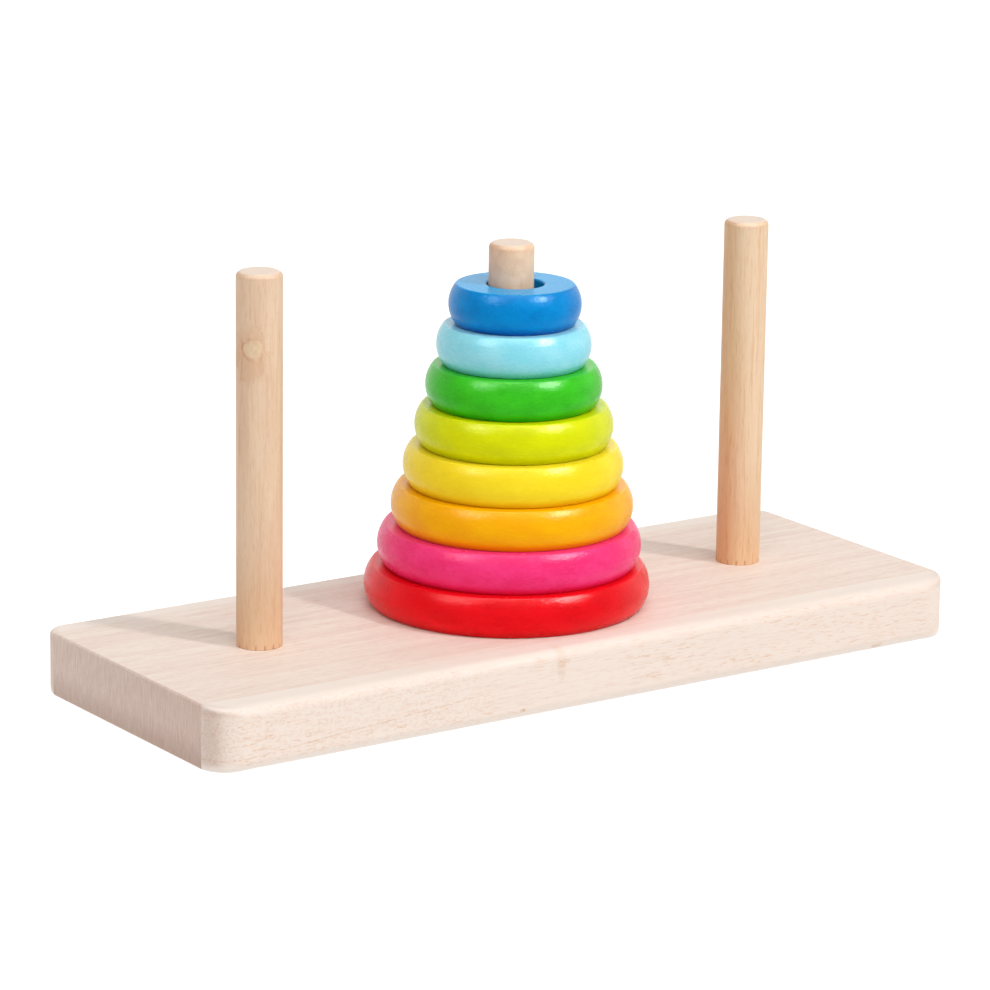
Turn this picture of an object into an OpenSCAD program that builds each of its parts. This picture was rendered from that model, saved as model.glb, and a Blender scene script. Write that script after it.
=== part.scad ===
// Tower of Hanoi puzzle: a plank with three glued pegs and a stack of rings on the middle one.
// The origin is the centre of the plank's underside, X runs along the plank and Z points up.

/* [Base board] */
// Length of the plank
board_l = 274.4; // [250:0.2:320]
// Depth of the plank, front to back
board_w = 105.6; // [96:0.2:130]
// Thickness of the plank
board_t = 19.8; // [19:0.2:28]
// Radius of the rounded long edges, top and bottom
edge_r = 3.4; // [1:0.2:5]
// Width of the shallow sanded margin along each long top edge
margin_w = 9.4; // [7:0.2:14]
// Drop of the sanded margin at the plank's face
margin_drop = 0.2; // [0.1:0.05:0.8]
// Radius of the four upright corners
corner_r = 10.5; // [9:0.5:16]
// How far in from the long face a corner starts on the short end
corner_reach = 9.4; // [6:0.2:9.8]
// Radius of the small break along the short ends
end_r = 0.9; // [0.3:0.1:1.5]

/* [Pegs] */
// Diameter of the dowel that the pegs are cut from
peg_d = 14; // [12:0.2:15]
// Distance between neighbouring pegs
peg_pitch = 90.6; // [86:0.2:96]
// Height of the left peg above the plank
peg_left_h = 114.8; // [106:0.2:124]
// Height of the middle peg above the plank
peg_middle_h = 114; // [106:0.2:124]
// Height of the right peg above the plank
peg_right_h = 112; // [106:0.2:124]
// Radius of the rounded top edge of a peg
peg_top_r = 1.8; // [0.5:0.1:3]
// Depth of the socket that each peg is glued into
socket_depth = 14; // [10:0.5:15]
// How much smaller in radius a peg's foot is than the peg
foot_relief = 0.2; // [0.2:0.05:0.5]
// How far the thinner foot shows above the plank
foot_show = 0.3; // [0.1:0.1:0.5]
// Gap all round a foot in its socket, filled by the glue
glue_gap = 0.05; // [0.02:0.01:0.1]
// Bevel at the mouth of a socket
socket_bevel = 0.8; // [0.4:0.1:1.2]
// Number of glue flutes pressed into a peg's foot
flute_count = 15; // [8:1:18]
// Depth of a V-shaped glue flute, which is twice as wide as it is deep
flute_depth = 0.35; // [0.2:0.05:0.6]
// How far the flutes show above the plank
flute_show = 1.8; // [0.6:0.1:4]

/* [Rings] */
// Outer diameter of the smallest ring
ring_top_d = 41; // [38:0.2:44]
// Growth in diameter from each ring to the next one down
ring_step = 6.85; // [6:0.05:7]
// Thickness of every ring
ring_t = 12.64; // [11:0.02:12.8]
// How far a ring's rim bulges past its flat faces
ring_bulge = 2.3; // [1.5:0.1:3]
// Bore of every ring
bore_d = 17.6; // [17.2:0.1:18.4]
// Bevel at the mouths of a ring's bore
bore_bevel = 0.5; // [0.2:0.1:0.8]
// Direction in which the rings sit off the peg, in degrees from X
offset_angle = -35; // [-180:5:180]

/* [Hidden] */
$fn = 120;
eps = 0.01;

// How far each ring sits off the peg's axis, as a share of the play in its loose bore,
// lowest ring first
ring_offset = [-0.1, 0.25, 0.65, 0.75, 0.8, 0.7, 0.6, 0.7];
ring_count = len(ring_offset);
ring_play = (bore_d - peg_d) / 2;

// Distance from the short end to a corner's centre, so that the corner is smooth on the
// long face and leaves a faint upright crease on the short end
corner_inset = sqrt(pow(corner_r, 2) - pow(corner_r - corner_reach, 2));

// Radius of the arc that bulges by ring_bulge over the thickness of a ring
rim_r = (pow(ring_t / 2, 2) + pow(ring_bulge, 2)) / (2 * ring_bulge);

wood = [0.93, 0.84, 0.76];
dowel = [0.86, 0.70, 0.52];
red = [0.90, 0.05, 0.09];
pink = [0.92, 0.20, 0.48];
orange = [0.98, 0.62, 0.06];
yellow = [0.97, 0.87, 0.15];
lime = [0.72, 0.84, 0.10];
green = [0.20, 0.62, 0.14];
sky = [0.52, 0.84, 0.92];
blue = [0.03, 0.44, 0.74];

// Rectangle centred on the origin with four rounded corners
module rounded_rect(w, h, r) {
    square([w - 2 * r, h], center = true);
    square([w, h - 2 * r], center = true);
    for (x = [-1, 1], y = [-1, 1])
        translate([x * (w / 2 - r), y * (h / 2 - r)]) circle(r);
}

// Outline of the plank seen from above
module board_plan() {
    intersection() {
        square([board_l, board_w], center = true);
        union() {
            square([board_l - 2 * corner_inset, board_w], center = true);
            square([board_l, board_w - 2 * corner_reach], center = true);
            for (x = [-1, 1], y = [-1, 1])
                translate([x * (board_l / 2 - corner_inset), y * (board_w / 2 - corner_r)])
                    circle(corner_r);
        }
    }
}

// Section of the plank across its length, with the sanded margins at the top
module board_section() {
    half_w = board_w / 2;
    intersection() {
        translate([0, board_t / 2]) rounded_rect(board_w, board_t, edge_r);
        polygon([
            [-half_w, 0], [half_w, 0],
            [half_w, board_t - margin_drop], [half_w - margin_w, board_t],
            [margin_w - half_w, board_t], [-half_w, board_t - margin_drop]
        ]);
    }
}

// Blind hole for a peg's foot, with a bevelled mouth
module socket(x) {
    r = peg_d / 2 - foot_relief + glue_gap;
    translate([x, 0, board_t - socket_depth]) cylinder(h = socket_depth + eps, r = r);
    translate([x, 0, board_t - socket_bevel])
        cylinder(h = socket_bevel + eps, r1 = r, r2 = r + socket_bevel + eps);
}

module base_board() {
    color(wood) difference() {
        intersection() {
            linear_extrude(board_t) board_plan();
            rotate([90, 0, 90]) linear_extrude(board_l, center = true) board_section();
            rotate([90, 0, 0]) linear_extrude(board_w, center = true)
                translate([0, board_t / 2]) rounded_rect(board_l, board_t, end_r);
        }
        for (x = [-peg_pitch, 0, peg_pitch]) socket(x);
    }
}

// Half section of a peg that is tall above the plank, with its foot at the socket's floor
module peg_section(tall) {
    r = peg_d / 2;
    length = socket_depth + tall;
    foot_l = socket_depth + foot_show;
    square([r - foot_relief, foot_l]);
    translate([0, foot_l]) square([r, length - foot_l - peg_top_r]);
    square([r - peg_top_r, length]);
    translate([r - peg_top_r, length - peg_top_r]) intersection() {
        circle(peg_top_r);
        square(peg_top_r);
    }
}

// A dowel peg at x, with glue flutes round its foot
module peg(x, tall, turn) {
    flute_l = socket_depth + flute_show;
    color(dowel) translate([x, 0, board_t - socket_depth]) difference() {
        rotate_extrude() peg_section(tall);
        for (i = [0 : flute_count - 1])
            rotate(turn + i * 360 / flute_count)
                translate([peg_d / 2, 0, -eps]) rotate(45)
                    linear_extrude(flute_l + eps) square(flute_depth * sqrt(2), center = true);
    }
}

module peg_left() { peg(-peg_pitch, peg_left_h, 4); }
module peg_middle() { peg(0, peg_middle_h, 0); }
module peg_right() { peg(peg_pitch, peg_right_h, 10); }

// Half section of a ring with a bulged rim
module ring_section(r) {
    bore_r = bore_d / 2;
    difference() {
        intersection() {
            translate([bore_r, 0]) square([r - bore_r, ring_t]);
            union() {
                square([r - ring_bulge, ring_t]);
                translate([r - rim_r, ring_t / 2]) circle(rim_r);
            }
        }
        for (z = [0, ring_t])
            translate([bore_r, z]) rotate(45) square(bore_bevel * sqrt(2), center = true);
    }
}

// Ring number i, counted from the bottom of the stack
module ring(i, tint) {
    r = (ring_top_d + ring_step * (ring_count - 1 - i)) / 2;
    shift = ring_play * ring_offset[i];
    color(tint) translate([shift * cos(offset_angle), shift * sin(offset_angle), board_t + ring_t * i])
        rotate_extrude() ring_section(r);
}

module ring_red() { ring(0, red); }
module ring_pink() { ring(1, pink); }
module ring_orange() { ring(2, orange); }
module ring_yellow() { ring(3, yellow); }
module ring_lime() { ring(4, lime); }
module ring_green() { ring(5, green); }
module ring_sky() { ring(6, sky); }
module ring_blue() { ring(7, blue); }

base_board();
peg_left();
peg_middle();
peg_right();
ring_red();
ring_pink();
ring_orange();
ring_yellow();
ring_lime();
ring_green();
ring_sky();
ring_blue();
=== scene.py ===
"""Looks of a Tower of Hanoi puzzle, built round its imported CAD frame. Lengths are in metres."""
import math

import bmesh
import bpy
from mathutils import Matrix, Vector


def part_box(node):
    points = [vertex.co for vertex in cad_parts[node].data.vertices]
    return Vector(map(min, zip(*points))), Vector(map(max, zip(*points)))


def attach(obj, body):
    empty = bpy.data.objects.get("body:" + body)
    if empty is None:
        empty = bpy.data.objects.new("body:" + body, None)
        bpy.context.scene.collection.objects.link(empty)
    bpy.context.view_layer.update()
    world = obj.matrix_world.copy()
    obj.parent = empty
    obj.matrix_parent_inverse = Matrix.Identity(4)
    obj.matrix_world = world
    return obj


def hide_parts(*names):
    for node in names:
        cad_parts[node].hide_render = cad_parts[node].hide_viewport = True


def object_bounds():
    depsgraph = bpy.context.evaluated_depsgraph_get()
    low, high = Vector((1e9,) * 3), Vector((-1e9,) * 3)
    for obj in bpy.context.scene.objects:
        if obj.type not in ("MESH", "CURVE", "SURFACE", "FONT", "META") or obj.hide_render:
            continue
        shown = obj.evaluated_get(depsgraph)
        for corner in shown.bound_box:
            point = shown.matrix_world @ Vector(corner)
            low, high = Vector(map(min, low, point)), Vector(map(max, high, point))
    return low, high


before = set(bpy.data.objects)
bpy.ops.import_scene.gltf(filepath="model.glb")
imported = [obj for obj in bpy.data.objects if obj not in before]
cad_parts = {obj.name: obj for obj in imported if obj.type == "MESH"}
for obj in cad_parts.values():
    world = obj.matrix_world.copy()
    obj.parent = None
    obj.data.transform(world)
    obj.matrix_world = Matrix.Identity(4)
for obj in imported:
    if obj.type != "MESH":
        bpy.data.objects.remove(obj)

cad_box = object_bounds()

MM = 0.001
WELD = 0.001 * MM          # points closer than this are one point
LEVEL = 1e-7               # points whose heights differ by less than this are level
TO_BACK = Vector((0, 1, 0))

# ---------------------------------------------------------------- sizes taken from the frame
BOARD_LOW, BOARD_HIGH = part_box("base_board")
BOARD_L, BOARD_W, BOARD_T = BOARD_HIGH - BOARD_LOW
CENTRE = (cad_box[0] + cad_box[1]) / 2

# ---------------------------------------------------------------- details of the pieces
EDGE_R = 3.4 * MM          # rounding of the plank's long edges
END_R = 0.9 * MM           # rounding of its short ends
EDGE_STEPS = 7             # rows of faces round an edge
MARGIN_W = 9.4 * MM        # lighter sanded margin along each long top edge
MARGIN_DROP = 0.2 * MM     # how far the margin slopes down to the long face
CORNER_R = 10.5 * MM       # upright corners
CORNER_REACH = 9.4 * MM    # where a corner starts on the short end, in from the long face
CORNER_STEPS = 14
SOCKET_R = 6.85 * MM       # blind holes for the feet of the pegs
SOCKET_DEPTH = 14 * MM
SOCKET_BEVEL = 0.05 * MM
SOCKET_SEGMENTS = 96
# from the short end to the centre of a corner's arc, which meets the end at a faint crease
CORNER_INSET = math.sqrt(CORNER_R ** 2 - (CORNER_R - CORNER_REACH) ** 2)

PEG_R = 7 * MM
PEG_TOP_R = 1.8 * MM       # rounding of a peg's top edge
FOOT_RELIEF = 0.2 * MM     # how much thinner the glued foot is
FOOT_BEVEL = 0.5 * MM
FOOT_SHOW = 0.02 * MM      # how far the thinner foot shows above the plank
FOOT_STEP = 0.03 * MM      # height of the step from the foot to the full peg
FLUTES = 15                # pressed glue flutes round the foot
FLUTE_DEPTH = 0.35 * MM
FLUTE_SHARE = 0.36         # width of a flute as a share of the distance to the next one
FLUTE_SHOW = 1.8 * MM      # how far the flutes show above the plank
FLUTE_FADE = 0.7 * MM      # how far below their upper ends they start to fade out
FLUTE_ROWS = 8
PEG_SEGMENTS = FLUTES * 16

BORE_R = 8.8 * MM
RIM_BULGE = 2.3 * MM
RIM_STEPS = 28
CREASE_R = 0.9 * MM        # softened crease between a ring's flat face and its rim
MOUTH_R = 0.7 * MM         # softened mouth of a ring's bore
FACE_INSET = 0.3 * MM      # from the mouth's rounding to the first points of the flat face
RING_SEGMENTS = 192

FRONT_MARKS = [            # stains on the front face, in mm: (x, z) of the centre, size, strength
    ((-16.4, 16), (2.2, 8), 0.4),
    ((-30.4, 2.8), (1.3, 0.7), 1.0),
    ((106.5, 1.6), (2.8, 1.0), 0.7),
]
GLOSS_TINT = 0.9           # share of a lacquer's own colour in its gloss
LACQUER_IOR = 1.27
COAT_ROUGHNESS = 0.16
CREASE_SHADE_H = 2.8                # height in mm of the painted shade along a ring's lower crease
CREASE_SHADE_LEVEL = 0.78           # brightness of that painted shade at the bottom
PAINTED_SHADE_SIDE = -125           # azimuth of the pegs' side away from the key light, where shade is painted, in degrees

# ---------------------------------------------------------------- light and camera
CAMERA = {"azimuth": -34.8, "elevation": 14.55, "roll": 0.76, "distance": 1.4184, "lens": 166.8}
SENSOR_WIDTH = 36          # of the camera, in mm like its lens
AIM = CENTRE + Vector((-5.2, -0.3, -12.7)) * MM      # the point in the middle of the picture
FLOOR_HALF = 8             # half the width of the floor, in metres
FLOOR_GLOW = 0.86
# brightness of the studio's wall against height, from straight down (-1) to straight up (1)
STUDIO_HEIGHTS = [(-1, 1), (-0.6, 1), (-0.3, 0.6), (0, 0.66), (0.17, 0.75), (0.82, 0.36)]
# how much brighter the wall is behind the puzzle: from the camera's side (-1) to the far side (1),
# and the share of that which is left at each height
BACKDROP_ACROSS = [(-0.1, 0), (0.6, 0.35)]
BACKDROP_HEIGHTS = [(0.35, 1), (0.75, 0)]
LAMPS = {
    "key": {"azimuth": 27.5, "elevation": 45, "spread": 4.5, "power": 0.31},
    "overhead": {"azimuth": -20, "elevation": 56, "spread": 50, "power": 0.36},
    "key_glint": {"azimuth": 27.5, "elevation": 45, "spread": 13, "power": 1.7, "glints_only": True},
    "left_glint": {"azimuth": -84, "elevation": 45, "spread": 24, "power": 0.95, "glints_only": True},
    "top_glint": {"azimuth": -35, "elevation": 78, "spread": 40, "power": 1.0, "glints_only": True},
}


# ---------------------------------------------------------------- mesh helpers
def arc(centre, radius, start, end, steps):
    """Points of an arc in a plane, from start to end in degrees, both included."""
    angles = [math.radians(start + (end - start) * i / steps) for i in range(steps + 1)]
    return [(centre[0] + radius * math.cos(a), centre[1] + radius * math.sin(a)) for a in angles]


def rounded_corner(before, corner, after, radius, steps=5):
    """The arc that rounds one corner of an outline."""
    before, corner, after = Vector(before), Vector(corner), Vector(after)
    to_before, to_after = (before - corner).normalized(), (after - corner).normalized()
    half = to_before.angle(to_after) / 2
    reach = radius / math.tan(half)
    centre = corner + (to_before + to_after).normalized() * radius / math.sin(half)
    first, last = corner + to_before * reach - centre, corner + to_after * reach - centre
    turn = first.angle(last)
    return [
        tuple(centre + (first * math.sin(turn * (1 - t)) + last * math.sin(turn * t)) / math.sin(turn))
        for t in (i / steps for i in range(steps + 1))
    ]


def mesh_object(name, bm):
    """Turns a bmesh into a smooth-shaded object in the scene."""
    bmesh.ops.recalc_face_normals(bm, faces=bm.faces)
    mesh = bpy.data.meshes.new(name)
    bm.to_mesh(mesh)
    bm.free()
    mesh.shade_smooth()
    piece = bpy.data.objects.new(name, mesh)
    bpy.context.scene.collection.objects.link(piece)
    return piece


def keep_flats(piece):
    """Weights the normals by face area, so that a flat face stays flat beside its rounded edge."""
    weighted = piece.modifiers.new("flat_faces", "WEIGHTED_NORMAL")
    weighted.keep_sharp = True


def lathe(name, profile, centre, segments, closed=False, radius_at=None):
    """Turns a profile of (radius, height) points round the Z axis through centre.

    radius_at(radius, height, angle) may change a point's radius round the turn.
    A closed profile makes a ring, and an open one ends on the axis at both ends.
    """
    bm = bmesh.new()
    loops = []
    for radius, height in profile:
        count = segments if radius > 0 else 1
        loop = []
        for i in range(count):
            angle = 2 * math.pi * i / segments
            r = radius_at(radius, height, angle) if radius_at and radius > 0 else radius
            loop.append(bm.verts.new(centre + Vector((r * math.cos(angle), r * math.sin(angle), height))))
        loops.append(loop)
    pairs = list(zip(loops, loops[1:] + loops[:1] if closed else loops[1:]))
    for low, high in pairs:
        for i in range(segments):
            j = (i + 1) % segments
            corners = [low[i % len(low)], low[j % len(low)], high[j % len(high)], high[i % len(high)]]
            bm.faces.new(list(dict.fromkeys(corners)))
    return mesh_object(name, bm)


# ---------------------------------------------------------------- node helpers
class Shade:
    """One material's nodes, with a short call for each kind, so that a material reads as formulas."""

    def __init__(self, name):
        self.material = bpy.data.materials.new(name)
        self.material.use_nodes = True
        self.tree = self.material.node_tree
        self.bsdf = self.tree.nodes["Principled BSDF"]

    def put(self, socket, value):
        """Links a socket if value is a socket too, and sets it if value is a constant."""
        if isinstance(value, bpy.types.NodeSocket):
            self.tree.links.new(value, socket)
        else:
            socket.default_value = value

    def add(self, kind, inputs, **settings):
        node = self.tree.nodes.new("ShaderNode" + kind)
        for name, value in settings.items():
            setattr(node, name, value)
        for name, value in inputs.items():
            self.put(node.inputs[name], value)
        return node

    def place(self):
        """The point being shaded in millimetres, in the frame of the whole puzzle at rest."""
        where = self.add("TexCoord", {}).outputs["Object"]
        return self.add("VectorMath", {0: where, "Scale": 1 / MM}, operation="SCALE").outputs[0]

    def math(self, operation, a, b=0.0, c=0.0):
        return self.add("Math", {0: a, 1: b, 2: c}, operation=operation).outputs[0]

    def both(self, a, b):
        """The product of two values, which is the overlap if they are masks."""
        return self.math("MULTIPLY", a, b)

    def split(self, vector):
        return self.add("SeparateXYZ", {0: vector}).outputs

    def join(self, x, y, z):
        return self.add("CombineXYZ", {0: x, 1: y, 2: z}).outputs[0]

    def stretch(self, vector, size, shift=(0, 0, 0)):
        """Divides a place by a grain size along each axis, so that one unit is one grain."""
        scale = [1 / s for s in size]
        return self.add("Mapping", {"Vector": vector, "Location": shift, "Scale": scale}).outputs[0]

    def noise(self, vector, detail=2.0, roughness=0.5, distortion=0.0):
        inputs = {"Vector": vector, "Scale": 1.0, "Detail": detail, "Roughness": roughness,
                  "Distortion": distortion}
        return self.add("TexNoise", inputs).outputs["Fac"]

    def ramp(self, value, low, high, to_low=0.0, to_high=1.0):
        """Goes smoothly from to_low to to_high as value goes from low to high, and stays there."""
        inputs = {"Value": value, "From Min": low, "From Max": high, "To Min": to_low, "To Max": to_high}
        return self.add("MapRange", inputs, interpolation_type="SMOOTHSTEP").outputs[0]

    def mix(self, share, a, b, blend="MIX"):
        """Goes from colour a to colour b as share goes from 0 to 1."""
        node = self.add("Mix", {}, data_type="RGBA", blend_type=blend)
        for name, value in (("Factor_Float", share), ("A_Color", a), ("B_Color", b)):
            socket = next(s for s in node.inputs if s.identifier == name)
            self.put(socket, value)
        return next(s for s in node.outputs if s.identifier == "Result_Color")

    def darken(self, colour, share, tint):
        """Multiplies a colour by a tint, as far as share says."""
        return self.mix(share, colour, tint, blend="MULTIPLY")

    def spot(self, across, up, centre, size):
        """A soft round or oval mark: 1 at its centre and 0 past its size, in two directions."""
        a = self.math("DIVIDE", self.math("SUBTRACT", across, centre[0]), size[0])
        b = self.math("DIVIDE", self.math("SUBTRACT", up, centre[1]), size[1])
        return self.ramp(self.math("ADD", self.both(a, a), self.both(b, b)), 1.0, 0.15)

    def bump(self, height, distance, strength=1.0, under=None):
        inputs = {"Height": height, "Distance": distance, "Strength": strength}
        if under is not None:
            inputs["Normal"] = under
        return self.add("Bump", inputs).outputs[0]

    def surface(self, **inputs):
        """Sets the shader's inputs by their names in lower case and returns the finished material."""
        for name, value in inputs.items():
            self.put(self.bsdf.inputs[name.replace("_", " ").title().replace("Ior", "IOR")], value)
        return self.material


def rgb(r, g, b):
    return (r, g, b, 1.0)


# ---------------------------------------------------------------- colours
WOOD_PALE = rgb(0.85, 0.735, 0.655)
WOOD_PINK = rgb(0.80, 0.65, 0.57)
WOOD_CREAM = rgb(0.85, 0.72, 0.63)
WOOD_SPECKLE = rgb(0.845, 0.735, 0.665)
WOOD_SANDED = rgb(0.842, 0.75, 0.676)
# painted light: the lower rounding of the long faces is painted paler
WOOD_UNDER_PAINTED_LIGHT = rgb(0.95, 0.85, 0.77)
END_PALE = rgb(0.80, 0.65, 0.56)
END_DEEP = rgb(0.655, 0.49, 0.415)
KNOT_PALE = rgb(0.82, 0.64, 0.395)
PEG_END_PALE = rgb(0.84, 0.69, 0.57)
PEG_END_DEEP = rgb(0.76, 0.59, 0.46)
FLOOR_GREY = rgb(0.25, 0.25, 0.25)

# tints multiply the colour under them: first the plank's
STREAK_TINT = rgb(0.88, 0.79, 0.75)
DASH_TINT = rgb(0.87, 0.76, 0.70)
SPECK_TINT = rgb(0.91, 0.82, 0.74)
FLECK_TINT = rgb(0.91, 0.75, 0.60)
# painted shade on the plank's upper rounding
ROUNDING_SHADE_TINT = rgb(0.90, 0.86, 0.845)
# painted shade round the plank's corners
CORNER_SHADE_TINT = rgb(0.87, 0.82, 0.80)
STAIN_TINT = rgb(0.80, 0.62, 0.46)
GROWTH_TINT = rgb(0.86, 0.70, 0.56)
END_PORE_TINT = rgb(0.88, 0.80, 0.77)
END_ARCH_TINT = rgb(0.93, 0.85, 0.82)
END_FRONT_TINT = rgb(0.935, 0.885, 0.87)
END_LOW_TINT = rgb(0.79, 0.73, 0.71)
# and then the pegs'
PEG_STREAK_TINT = rgb(0.89, 0.77, 0.65)
PEG_FIBRE_TINT = rgb(0.88, 0.80, 0.72)
PEG_FLECK_TINT = rgb(0.87, 0.71, 0.55)
# painted shade and warm bounce light towards a peg's foot
PEG_FOOT_SHADE_TINT = rgb(0.91, 0.82, 0.71)
# painted shade on a peg's rounded top edge
PEG_ROUNDING_SHADE_TINT = rgb(0.95, 0.90, 0.85)
# painted shade in the pressed glue flutes
FLUTE_SHADE_TINT = rgb(0.86, 0.70, 0.57)
KNOT_HALO_TINT = rgb(0.92, 0.80, 0.71)
KNOT_RIM_TINT = rgb(0.86, 0.70, 0.58)

PEGS = {                   # what peg_wood says of each peg
    "peg_left": {"pale": rgb(0.80, 0.582, 0.405), "deep": rgb(0.745, 0.515, 0.35), "fibre_l": 3.5,
                 "streaks": 0.6, "flank_shade": rgb(1, 0.99, 0.98), "turn": 11.0, "knot": (-48, 111.6 * MM)},
    "peg_middle": {"pale": rgb(0.93, 0.66, 0.455), "deep": rgb(0.84, 0.57, 0.375), "fibre_l": 0.45,
                   "streaks": 0.4, "flank_shade": rgb(0.86, 0.80, 0.82), "turn": 37.0},
    "peg_right": {"pale": rgb(0.843, 0.616, 0.415), "deep": rgb(0.812, 0.577, 0.38), "fibre_l": 4.5,
                  "streaks": 0.75, "flank_shade": rgb(0.95, 0.83, 0.73), "turn": 71.0},
}
LACQUERS = {               # colour, deeper colour in the grain, and strength of the coat's glints
    "red": (rgb(0.84, 0.004, 0.010), rgb(0.73, 0.002, 0.007), 0.12),
    "pink": (rgb(0.93, 0.046, 0.215), rgb(0.86, 0.025, 0.16), 0.12),
    "orange": (rgb(0.97, 0.47, 0.001), rgb(0.93, 0.40, 0.001), 0.12),
    "yellow": (rgb(0.97, 0.75, 0.022), rgb(0.93, 0.69, 0.015), 0.12),
    "lime": (rgb(0.73, 0.78, 0.001), rgb(0.65, 0.70, 0.001), 0.12),
    "green": (rgb(0.046, 0.575, 0.013), rgb(0.033, 0.47, 0.009), 0.22),
    "sky": (rgb(0.335, 0.765, 0.87), rgb(0.24, 0.70, 0.82), 0.26),
    "blue": (rgb(0.0003, 0.262, 0.67), rgb(0.0003, 0.20, 0.565), 0.10),
}
LIT_FACE_TONES = {"blue": rgb(0.0003, 0.38, 0.79)}   # the one flat face that shows whole, painted lighter as a painted reflection


# ---------------------------------------------------------------- materials
def sawn_end(s, place, x, y, z, half_w):
    """Colour of the plank's short ends: saw lines, pores and faint arcs of growth round the heart."""
    saw = s.noise(s.stretch(place, (3, 0.26, 5)), detail=2, roughness=0.5)
    pore = s.noise(s.stretch(place, (0.5, 0.32, 0.6), (2, 6, 1)), detail=2)
    # the heart that the arcs go round lies below the plank, towards its front
    heart_y, heart_z = s.math("ADD", y, 18), s.math("MULTIPLY_ADD", z, 1.4, 22)
    from_heart = s.math("SQRT", s.math("ADD", s.both(heart_y, heart_y), s.both(heart_z, heart_z)))
    arch = s.noise(s.join(s.math("DIVIDE", from_heart, 2.2), s.math("DIVIDE", y, 40), x), detail=2)
    tone = s.mix(s.ramp(saw, 0.25, 0.75), END_PALE, END_DEEP)
    tone = s.darken(tone, s.ramp(pore, 0.45, 0.7, 0, 0.4), END_PORE_TINT)
    tone = s.darken(tone, s.ramp(arch, 0.4, 0.6, 0, 0.22), END_ARCH_TINT)
    tone = s.darken(tone, s.ramp(y, half_w, -half_w), END_FRONT_TINT)
    return s.darken(tone, s.ramp(z, 10, 0), END_LOW_TINT)


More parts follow.
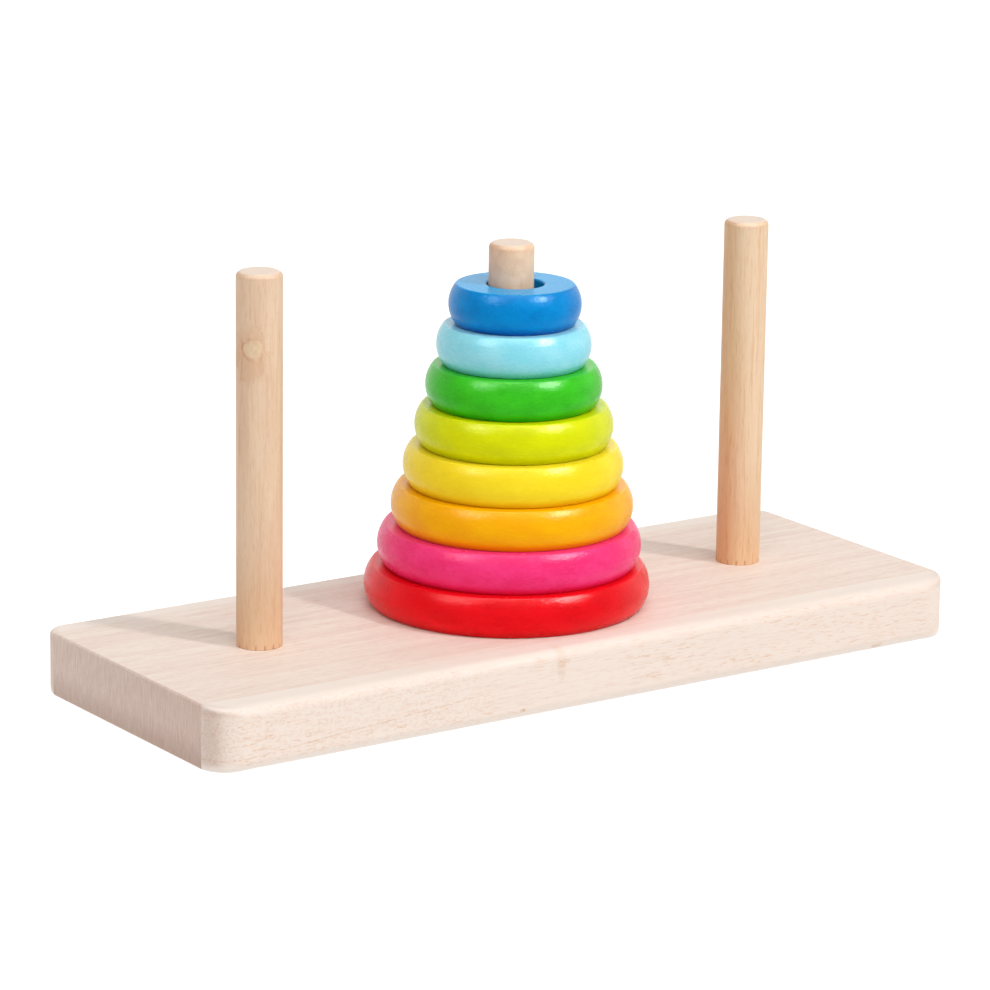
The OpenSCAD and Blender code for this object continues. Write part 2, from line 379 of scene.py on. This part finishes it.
def board_wood():
    """Pale rubberwood with its grain along X.

    The top has soft bands and short vessel dashes, the long sides are creamier and speckled towards
    the left, the sanded margins are paler, and the short ends show fine upright saw lines.
    """
    s = Shade("board_wood")
    place = s.place()
    x, y, z = s.split(place)
    out_x, out_y = s.math("ABSOLUTE", x), s.math("ABSOLUTE", y)
    half_l, half_w, thick = BOARD_L / 2 / MM, BOARD_W / 2 / MM, BOARD_T / MM
    corner_r = CORNER_R / MM

    # side is 1 on the long faces and round the corners, and 0 on the top and the short ends
    past_x = s.math("MAXIMUM", s.math("SUBTRACT", out_x, half_l - CORNER_INSET / MM), 0)
    past_y = s.math("MAXIMUM", s.math("SUBTRACT", out_y, half_w - corner_r), 0)
    from_centre = s.math("SQRT", s.math("ADD", s.both(past_x, past_x), s.both(past_y, past_y)))
    reach = s.both(from_centre, s.ramp(past_y, 0, 0.5))
    side = s.ramp(reach, corner_r - EDGE_R / MM, corner_r - 0.6)

    # patterns of the wood, by their size in mm along x, y and z
    cloud = s.noise(s.stretch(place, (60, 9, 9)), detail=2)
    band = s.noise(s.stretch(place, (70, 4, 4), (3.1, 0.4, 0.2)), detail=3, distortion=0.3)
    streak = s.noise(s.stretch(place, (11, 0.7, 0.7), (1.7, 2.0, 0)), detail=3, roughness=0.6)
    dash = s.noise(s.stretch(place, (3.4, 0.34, 0.34), (0, 7, 3)), detail=2, roughness=0.5)
    fleck = s.noise(s.stretch(place, (3.2, 0.5, 0.5), (4, 1, 8)), detail=1)
    speck = s.noise(s.stretch(place, (1.1, 0.9, 0.8), (9, 2, 5)), detail=2)

    # bands, streaks and dashes, which are weaker on the long faces
    on_top = s.ramp(side, 0, 1, 1, 0.6)
    colour = s.mix(s.ramp(band, 0.3, 0.7), WOOD_PALE, WOOD_PINK)
    colour = s.mix(s.both(side, s.ramp(band, 0.3, 0.8, 1, 0.7)), colour, WOOD_CREAM)
    colour = s.darken(colour, s.both(on_top, s.ramp(streak, 0.48, 0.72, 0, 0.55)), STREAK_TINT)
    colour = s.darken(colour, s.both(on_top, s.ramp(dash, 0.5, 0.72, 0, 0.6)), DASH_TINT)

    # speckle on the left of the long faces, and flecks everywhere
    left_third = s.both(side, s.ramp(x, -28, -60))
    colour = s.mix(s.both(left_third, s.ramp(speck, 0.5, 0.66, 0, 0.6)), colour, WOOD_SPECKLE)
    colour = s.darken(colour, s.both(left_third, s.ramp(speck, 0.48, 0.36, 0, 0.5)), SPECK_TINT)
    flecks = s.both(s.ramp(fleck, 0.60, 0.70), s.ramp(cloud, 0.42, 0.62, 0.1, 0.8))
    colour = s.darken(colour, s.both(flecks, s.ramp(side, 0, 1, 0.4, 1)), FLECK_TINT)

    # sanded margins, whose inner edge wavers a little
    wobble = s.noise(s.stretch(place, (30, 30, 30)), detail=2)
    inner = s.math("ADD", out_y, s.math("SUBTRACT", wobble, 0.5))
    start = half_w - MARGIN_W / MM
    flat_top = s.ramp(z, thick - 1.4, thick - 0.5)
    margin = s.both(s.ramp(inner, start - 0.25, start + 0.25), flat_top)
    colour = s.mix(s.both(margin, 0.7), colour, WOOD_SANDED)

    # painted shade on the upper rounding and round the corners, and painted light on the lower rounding
    rounding = s.both(side, s.ramp(z, thick - EDGE_R / MM, thick - 1.6))
    colour = s.darken(colour, rounding, ROUNDING_SHADE_TINT)
    # painted shade round the corners, below the top rounding
    upright = s.both(side, s.ramp(z, thick - 0.6, thick - 2.6))
    turned = s.both(upright, s.ramp(out_y, half_w - 1.4, half_w - 4.6))
    colour = s.darken(colour, s.both(turned, s.ramp(past_y, 1, 4, 0.5, 1)), CORNER_SHADE_TINT)
    # painted light on the lower rounding
    under = s.both(side, s.ramp(z, 3.0, 0.8))
    colour = s.mix(s.both(under, 0.8), colour, WOOD_UNDER_PAINTED_LIGHT)

    # stains on the front, and a line of growth along the left of the long faces
    for centre, size, share in FRONT_MARKS:
        mark = s.both(s.spot(x, z, centre, size), s.ramp(y, 8 - half_w, 3 - half_w))
        patchy = s.ramp(speck, 0.35, 0.6, 0.4 * share, share)
        colour = s.darken(colour, s.both(mark, patchy), STAIN_TINT)
    off_line = s.math("SUBTRACT", z, s.math("MULTIPLY_ADD", x, 0.07, 13.2))
    growth_line = s.ramp(s.math("ABSOLUTE", off_line), 0.45, 0.1)
    growth_line = s.both(growth_line, s.both(left_third, s.ramp(dash, 0.35, 0.6)))
    colour = s.darken(colour, s.both(growth_line, 0.5), GROWTH_TINT)

    # sawn short ends, up to the crease where each corner starts
    end_tone = sawn_end(s, place, x, y, z, half_w)
    flat_y = half_w - CORNER_REACH / MM
    end = s.both(s.ramp(out_x, half_l - 0.75, half_l - 0.6), s.ramp(out_y, flat_y + 0.1, flat_y - 0.1))
    colour = s.mix(end, colour, end_tone)

    height = s.math("SUBTRACT", s.both(dash, -0.5), s.both(flecks, 0.5))
    rough = s.ramp(streak, 0.3, 0.7, 0.55, 0.65)
    return s.surface(base_color=colour, roughness=rough, normal=s.bump(height, 0.06 * MM, 0.5))


def peg_wood(node, pale, deep, fibre_l, streaks, flank_shade, turn, knot=None):
    """Tan dowel with its grain along Z.

    pale and deep are the wood's two tones, fibre_l is the length of a fibre in mm, streaks the
    strength of the streaks, and flank the tint of painted shade on the side away from the key light.
    turn moves the pattern, so that no two pegs look the same. Painted shade and warm bounce light
    darken the wood towards the foot, painted shade darkens the rounded top edge and the pressed glue
    flutes, and the end grain has its own colours.
    A knot, given as (azimuth, height), is pale with a darker halo, and the grain bends round it.
    """
    s = Shade(node + "_grain")
    low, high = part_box(node)
    x, y, z = s.split(s.place())
    from_x = s.math("SUBTRACT", x, (low.x + high.x) / 2 / MM)
    radius = s.math("SQRT", s.math("ADD", s.both(from_x, from_x), s.both(y, y)))
    place = s.stretch(s.place(), (1, 1, 1), (turn, turn * 0.6, turn * 2))

    def towards(azimuth):
        """How far a point lies from the peg's axis in the direction of azimuth."""
        a = math.radians(azimuth)
        return s.math("SUBTRACT", s.both(from_x, math.sin(a)), s.both(y, math.cos(a)))

    if knot:
        azimuth, height = knot[0], knot[1] / MM
        near = s.ramp(towards(azimuth), 0, 3)
        wander = s.noise(s.stretch(place, (3, 3, 3)), detail=0)
        sway = s.noise(s.stretch(place, (3, 3, 3), (7, 3, 5)), detail=0)
        across = s.math("MULTIPLY_ADD", wander, 3, towards(azimuth + 90))
        up = s.math("MULTIPLY_ADD", sway, 3, z)
        eye = s.both(near, s.spot(across, up, (1.5, height + 1.5), (4.4, 3.9)))
        halo = s.both(near, s.spot(across, up, (0.3, height), (6.5, 11)))
        dark_half = s.ramp(across, 3, -1)
        bend = s.both(halo, 1.5)
        place = s.add("VectorMath", {0: place, 1: s.join(bend, bend, 0.0)}, operation="ADD").outputs[0]

    # patterns of the wood, by their size in mm along x, y and z
    tone = s.noise(s.stretch(place, (5, 5, 12 * fibre_l)), detail=2)
    streak = s.noise(s.stretch(place, (1.0, 1.0, 6 * fibre_l)), detail=4, roughness=0.6, distortion=0.4)
    fibre = s.noise(s.stretch(place, (0.35, 0.35, fibre_l)), detail=2, roughness=0.6)
    pore = s.noise(s.stretch(place, (0.55, 0.55, 1.2 * fibre_l)), detail=1)

    colour = s.mix(s.ramp(tone, 0.35, 0.65), pale, deep)
    colour = s.darken(colour, s.ramp(streak, 0.48, 0.72, 0, streaks), PEG_STREAK_TINT)
    colour = s.darken(colour, s.ramp(fibre, 0.48, 0.72, 0, 0.5), PEG_FIBRE_TINT)
    fleck = s.ramp(pore, 0.60, 0.74)
    colour = s.darken(colour, s.both(fleck, 0.6 * streaks), PEG_FLECK_TINT)
    # painted shade on the side away from the key light
    colour = s.darken(colour, s.ramp(towards(PAINTED_SHADE_SIDE), 0, 6.5), flank_shade)
    # painted shade and warm bounce light from the plank, towards the foot
    colour = s.darken(colour, s.ramp(z, BOARD_T / MM + 38, BOARD_T / MM + 4), PEG_FOOT_SHADE_TINT)
    if knot:
        colour = s.darken(colour, s.both(halo, 0.75), KNOT_HALO_TINT)
        rings = s.noise(s.stretch(place, (1.2, 1.2, 1.2)), detail=2)
        rim = s.both(s.ramp(eye, 0, 0.35), s.ramp(eye, 1, 0.5))
        rim = s.both(rim, s.ramp(rings, 0.3, 0.65, 0.5, 1))
        colour = s.darken(colour, s.both(rim, s.ramp(dark_half, 0, 1, 0.25, 1)), KNOT_RIM_TINT)
        heart = s.mix(s.ramp(rings, 0.35, 0.7), KNOT_PALE, deep)
        colour = s.mix(s.ramp(eye, 0.2, 1, 0, 0.65), colour, heart)

    # painted shade on the rounded top edge, end grain, and painted shade in the glue flutes
    rounded = s.ramp(z, high.z / MM - 2.2, high.z / MM - 1.2)
    colour = s.darken(colour, rounded, PEG_ROUNDING_SHADE_TINT)
    end_grain = s.mix(s.ramp(fibre, 0.4, 0.7), PEG_END_PALE, PEG_END_DEEP)
    colour = s.mix(s.ramp(z, high.z / MM - 0.5, high.z / MM - 0.1), colour, end_grain)
    flute_top = (BOARD_T + FLUTE_SHOW) / MM
    # painted shade in the pressed flutes and on the thinner foot
    pressed = s.ramp(radius, PEG_R / MM - 0.05, PEG_R / MM - 0.25)
    flute = s.both(pressed, s.ramp(z, flute_top + 0.1, flute_top))
    colour = s.darken(colour, flute, FLUTE_SHADE_TINT)
    height = s.math("ADD", s.both(fibre, 0.5), s.both(fleck, -0.5))
    return s.surface(base_color=colour, roughness=s.ramp(streak, 0.3, 0.7, 0.5, 0.6),
                     normal=s.bump(height, 0.05 * MM, 0.5))


def lacquer(node, colour, deep, face, coat):
    """Glossy lacquer over turned wood, with painted shade that darkens it towards the lower crease.

    face is the colour of the upper flat face, which for the blue ring is painted lighter as a
    painted reflection, and coat the strength of a thin uneven clear coat that breaks up the lamps'
    glints on the rim. The flat faces are smooth.
    """
    s = Shade(node + "_coat")
    place = s.place()
    cloud = s.noise(s.stretch(place, (9, 9, 5)), detail=2)
    grain = s.noise(s.stretch(place, (1.6, 1.6, 0.5)), detail=3, roughness=0.6)
    peel = s.noise(s.stretch(place, (0.7, 0.7, 0.6)), detail=2, roughness=0.6)
    swell = s.noise(s.stretch(place, (3.5, 3.5, 2.5)), detail=1)
    tone = s.math("ADD", s.both(cloud, 0.6), s.both(grain, 0.4))
    base = s.mix(s.ramp(tone, 0.35, 0.65), colour, deep)
    upright = s.split(s.add("TexCoord", {}).outputs["Normal"])[2]
    on_rim = s.ramp(s.math("ABSOLUTE", upright), 0.60, 0.75, 1, 0)
    # painted reflection: the upper flat face takes its lighter colour
    base = s.mix(s.ramp(upright, 0.8, 0.95), base, face)
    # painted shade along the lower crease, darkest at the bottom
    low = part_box(node)[0].z / MM
    crease_shade_tint = [CREASE_SHADE_LEVEL * math.sqrt(c) for c in colour[:3]]
    base = s.darken(base, s.ramp(s.split(place)[2], low + CREASE_SHADE_H, low), rgb(*crease_shade_tint))
    soft = s.bump(swell, 0.05 * MM, s.both(on_rim, 0.8))
    uneven = s.bump(peel, 0.12 * MM, on_rim, soft)
    gloss = [GLOSS_TINT * c + 1 - GLOSS_TINT for c in colour[:3]]
    return s.surface(base_color=base, roughness=s.ramp(cloud, 0.3, 0.7, 0.24, 0.28), normal=uneven,
                     ior=LACQUER_IOR, specular_tint=rgb(*gloss), coat_weight=coat,
                     coat_roughness=COAT_ROUGHNESS, coat_normal=uneven)


# ---------------------------------------------------------------- pieces
def plank_outline():
    """The plank's outline from above, anticlockwise: (point, outward normal, share of long edge).

    A corner is smooth on the long face and leaves a faint upright crease on the short end.
    """
    crease = math.degrees(math.acos(CORNER_INSET / CORNER_R))
    centre = Vector((BOARD_L / 2 - CORNER_INSET, BOARD_W / 2 - CORNER_R))
    back_right = []
    for i in range(CORNER_STEPS + 1):
        angle = math.radians(crease + (90 - crease) * i / CORNER_STEPS)
        normal = Vector((math.cos(angle), math.sin(angle)))
        back_right.append((centre + CORNER_R * normal, normal, i / CORNER_STEPS))

    def mirrored(sx, sy):
        flip = Vector((sx, sy))
        part = [(point * flip, normal * flip, share) for point, normal, share in back_right]
        return part if sx == sy else part[::-1]

    return mirrored(1, 1) + mirrored(-1, 1) + mirrored(-1, -1) + mirrored(1, -1)


def board_mesh():
    """The plank: rounded long edges, nearly sharp short ends, sanded margins and three sockets."""
    outline = plank_outline()
    radius = [END_R + (EDGE_R - END_R) * share ** 1.5 for _, _, share in outline]
    bm = bmesh.new()
    loops = []
    for top in (False, True):
        for i in range(EDGE_STEPS + 1):
            angle = math.pi / 2 * (i / EDGE_STEPS if top else 1 - i / EDGE_STEPS)
            loop = []
            for (point, normal, _), r in zip(outline, radius):
                place = point - normal * r * (1 - math.cos(angle))
                rise = r * (1 - math.sin(angle))
                loop.append(bm.verts.new((place.x, place.y, BOARD_T - rise if top else rise)))
            loops.append(loop)
    for low, high in zip(loops, loops[1:]):
        for i in range(len(low)):
            j = (i + 1) % len(low)
            bm.faces.new((low[i], low[j], high[j], high[i]))
    bm.faces.new(list(reversed(loops[0])))
    bm.faces.new(loops[-1])

    crease_y = BOARD_W / 2 - MARGIN_W
    for side in (-1, 1):
        flat = [f for f in bm.faces if all(abs(v.co.z - BOARD_T) < LEVEL for v in f.verts)]
        geometry = flat + [e for f in flat for e in f.edges] + [v for f in flat for v in f.verts]
        bmesh.ops.bisect_plane(bm, geom=list(dict.fromkeys(geometry)),
                               plane_co=TO_BACK * side * crease_y, plane_no=TO_BACK * side)
    for v in bm.verts:
        if v.co.z > BOARD_T / 2:
            v.co.z -= MARGIN_DROP * min(1, max(0, (abs(v.co.y) - crease_y) / MARGIN_W))
    board = mesh_object("base_board_wood", bm)
    cut_sockets(board)
    weld(board)
    return board


def cut_sockets(board):
    """Cuts the blind hole for each peg's foot, with a cutter that stands a little above the top."""
    over = 1 * MM
    profile = [
        (0, -SOCKET_DEPTH),
        (SOCKET_R, -SOCKET_DEPTH),
        (SOCKET_R, -SOCKET_BEVEL),
        (SOCKET_R + SOCKET_BEVEL + over, over),
        (0, over),
    ]
    for node in PEGS:
        axis_x, axis_y = axis_of(node)
        cutter = lathe("cutter", profile, Vector((axis_x, axis_y, BOARD_T)), SOCKET_SEGMENTS)
        cut = board.modifiers.new("socket", "BOOLEAN")
        cut.object = cutter
        cut.solver = "EXACT"
        apply_modifiers(board)
        bpy.data.objects.remove(cutter)


def apply_modifiers(piece):
    """Replaces a piece's mesh by the one that its modifiers make."""
    depsgraph = bpy.context.evaluated_depsgraph_get()
    mesh = bpy.data.meshes.new_from_object(piece.evaluated_get(depsgraph))
    piece.modifiers.clear()
    piece.data = mesh


def weld(piece):
    """Joins the doubled points that a cut leaves, so that the mesh is closed."""
    bm = bmesh.new()
    bm.from_mesh(piece.data)
    bmesh.ops.remove_doubles(bm, verts=bm.verts, dist=WELD)
    bmesh.ops.dissolve_degenerate(bm, edges=bm.edges, dist=WELD)
    bm.to_mesh(piece.data)
    bm.free()


def axis_of(node):
    """The x and y of a turned piece's own axis."""
    low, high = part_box(node)
    middle = (low + high) / 2
    return middle.x, middle.y


def peg_mesh(node):
    """A dowel with a rounded top edge, and V-shaped glue flutes that fade out above the plank."""
    low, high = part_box(node)
    tall = high.z - low.z
    shoulder = SOCKET_DEPTH + FOOT_SHOW
    flute_end = SOCKET_DEPTH + FLUTE_SHOW
    foot_r = PEG_R - FOOT_RELIEF

    def fluted(radius, height, angle):
        """Presses the flutes, each to its own depth, into the peg up to flute_end."""
        if height > flute_end or radius < foot_r:
            return radius
        flute, phase = divmod(angle / (2 * math.pi) * FLUTES, 1)
        groove = max(0, 1 - abs(phase - 0.5) / (FLUTE_SHARE / 2))
        pressed = 0.55 + 0.45 * abs(math.sin(2.4 * flute + low.x / MM))
        fade = min(1, (flute_end - height) / FLUTE_FADE)
        return radius - FLUTE_DEPTH * pressed * groove * fade

    # points close to each rounding keep the straight parts beside it smooth
    foot = [(0, 0), (foot_r - FOOT_BEVEL, 0), (foot_r, FOOT_BEVEL), (foot_r, shoulder)]
    rise = (flute_end - shoulder) / FLUTE_ROWS
    flutes = [(PEG_R, shoulder + rise * (i + 1)) for i in range(FLUTE_ROWS)]
    shaft = [(PEG_R, flute_end + 0.2 * MM), (PEG_R, tall - PEG_TOP_R - 0.3 * MM)]
    rounding = arc((PEG_R - PEG_TOP_R, tall - PEG_TOP_R), PEG_TOP_R, 0, 88, 9)
    top = [(PEG_R - PEG_TOP_R - 0.8 * MM, tall), (1.2 * MM, tall), (0, tall)]
    profile = foot + [(PEG_R, shoulder + FOOT_STEP)] + flutes + shaft + rounding + top
    base = Vector((*axis_of(node), low.z))
    return lathe(node + "_wood", profile, base, PEG_SEGMENTS, radius_at=fluted)


def ring_mesh(node):
    """A turned ring: flat faces, a bulged rim, and softened creases."""
    low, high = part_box(node)
    thick = high.z - low.z
    outer = max((high - low).x, (high - low).y) / 2
    rim_r = ((thick / 2) ** 2 + RIM_BULGE ** 2) / (2 * RIM_BULGE)
    half_angle = math.degrees(math.asin(thick / 2 / rim_r))
    rim = arc((outer - rim_r, thick / 2), rim_r, -half_angle, half_angle, RIM_STEPS)
    mouth_low, mouth_high = (BORE_R, 0), (BORE_R, thick)
    face_low, face_high = (outer / 2, 0), (outer / 2, thick)
    face_start = BORE_R + MOUTH_R + FACE_INSET
    profile = rounded_corner((BORE_R, thick / 2), mouth_low, face_low, MOUTH_R)
    profile += [(face_start, 0), (rim[0][0] - CREASE_R, 0)]
    profile += rounded_corner(face_low, rim[0], rim[1], CREASE_R)
    profile += rim[2:-2]
    profile += rounded_corner(rim[-2], rim[-1], face_high, CREASE_R)
    profile += [(rim[-1][0] - CREASE_R, thick), (face_start, thick)]
    profile += rounded_corner(face_high, mouth_high, (BORE_R, thick / 2), MOUTH_R)
    base = Vector((*axis_of(node), low.z))
    return lathe(node + "_lacquered", profile, base, RING_SEGMENTS, closed=True)


def finish_piece(piece, node, body, material):
    """Gives a piece its material and puts it in the place of its CAD node on a body."""
    piece.data.materials.clear()
    piece.data.materials.append(material)
    keep_flats(piece)
    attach(piece, body)
    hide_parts(node)


finish_piece(board_mesh(), "base_board", "base", board_wood())
for node, wood in PEGS.items():
    finish_piece(peg_mesh(node), node, "base", peg_wood(node, **wood))

for tint, (colour, deep, coat) in LACQUERS.items():
    node = "ring_" + tint
    paint = lacquer(node, colour, deep, LIT_FACE_TONES.get(tint, colour), coat)
    finish_piece(ring_mesh(node), node, node, paint)


# ---------------------------------------------------------------- floor, studio and camera
def make_floor():
    """White floor that glows, so that no shadow shows on it."""
    bm = bmesh.new()
    bmesh.ops.create_grid(bm, x_segments=1, y_segments=1, size=FLOOR_HALF)
    floor = mesh_object("floor", bm)
    s = Shade("floor_white")
    s.put(s.bsdf.inputs["Emission Color"], rgb(1, 1, 1))
    s.put(s.bsdf.inputs["Emission Strength"], FLOOR_GLOW)
    floor.data.materials.append(s.surface(base_color=FLOOR_GREY, roughness=0.9))
    floor.visible_diffuse = False
    floor.visible_shadow = False
    floor.visible_glossy = False


def direction(azimuth, elevation):
    """Unit vector from the puzzle towards azimuth (0 is -Y, 90 is +X) and elevation, in degrees."""
    a, e = math.radians(azimuth), math.radians(elevation)
    return Vector((math.sin(a) * math.cos(e), -math.cos(a) * math.cos(e), math.sin(e)))


def lamp(name, azimuth, elevation, spread, power, glints_only=False):
    """Distant lamp that covers spread degrees of the studio.

    A power of 1 lights a white surface that faces it to full white. A glints_only lamp shows in
    glossy reflections but doesn't light the surface.
    """
    light = bpy.data.lights.new(name, "SUN")
    light.angle = math.radians(spread)
    light.energy = power * math.pi
    holder = bpy.data.objects.new(name, light)
    holder.rotation_mode = "QUATERNION"
    holder.rotation_quaternion = direction(azimuth, elevation).to_track_quat("Z", "Y")
    holder.visible_diffuse = not glints_only
    bpy.context.scene.collection.objects.link(holder)


def make_world():
    """White studio whose wall is brighter behind the puzzle."""
    world = bpy.data.worlds.new("studio")
    world.use_nodes = True
    tree = world.node_tree

    def curve(value, stops):
        """A smooth curve through stops, which are (value, result) pairs for values from -1 to 1."""
        node = tree.nodes.new("ShaderNodeValToRGB")
        node.color_ramp.interpolation = "EASE"
        while len(node.color_ramp.elements) < len(stops):
            node.color_ramp.elements.new(0.5)
        for element, (at, result) in zip(node.color_ramp.elements, stops):
            element.position = (at + 1) / 2
            element.color = rgb(result, result, result)
        shift = tree.nodes.new("ShaderNodeMath")
        shift.operation = "MULTIPLY_ADD"
        shift.inputs[1].default_value = 0.5
        shift.inputs[2].default_value = 0.5
        tree.links.new(value, shift.inputs[0])
        tree.links.new(shift.outputs[0], node.inputs[0])
        return node.outputs[0]

    where = tree.nodes.new("ShaderNodeTexCoord").outputs["Generated"]
    split = tree.nodes.new("ShaderNodeSeparateXYZ")
    tree.links.new(where, split.inputs[0])
    behind = tree.nodes.new("ShaderNodeVectorMath")
    behind.operation = "DOT_PRODUCT"
    behind.inputs[1].default_value = -direction(CAMERA["azimuth"], 0)
    tree.links.new(where, behind.inputs[0])
    glow = tree.nodes.new("ShaderNodeMath")
    glow.operation = "MULTIPLY_ADD"
    tree.links.new(curve(behind.outputs["Value"], BACKDROP_ACROSS), glow.inputs[0])
    tree.links.new(curve(split.outputs["Z"], BACKDROP_HEIGHTS), glow.inputs[1])
    tree.links.new(curve(split.outputs["Z"], STUDIO_HEIGHTS), glow.inputs[2])
    tree.nodes["Background"].inputs["Color"].default_value = rgb(1, 1, 1)
    tree.links.new(glow.outputs[0], tree.nodes["Background"].inputs["Strength"])
    bpy.context.scene.world = world


def make_camera(azimuth, elevation, roll, distance, lens):
    """Camera that looks at AIM from a direction and distance, rolled by some degrees."""
    data = bpy.data.cameras.new("camera")
    data.lens = lens
    data.sensor_width = SENSOR_WIDTH
    camera = bpy.data.objects.new("camera", data)
    back = direction(azimuth, elevation)
    right = Vector((math.cos(math.radians(azimuth)), math.sin(math.radians(azimuth)), 0))
    up = back.cross(right)
    turn = math.radians(roll)
    rolled = math.cos(turn) * right + math.sin(turn) * up
    columns = Matrix((rolled, back.cross(rolled), back)).transposed()
    camera.matrix_world = Matrix.Translation(AIM + back * distance) @ columns.to_4x4()
    bpy.context.scene.collection.objects.link(camera)
    bpy.context.scene.camera = camera


make_floor()
make_world()
for name, settings in LAMPS.items():
    lamp(name, **settings)
make_camera(**CAMERA)
bpy.context.scene.view_settings.view_transform = "Standard"
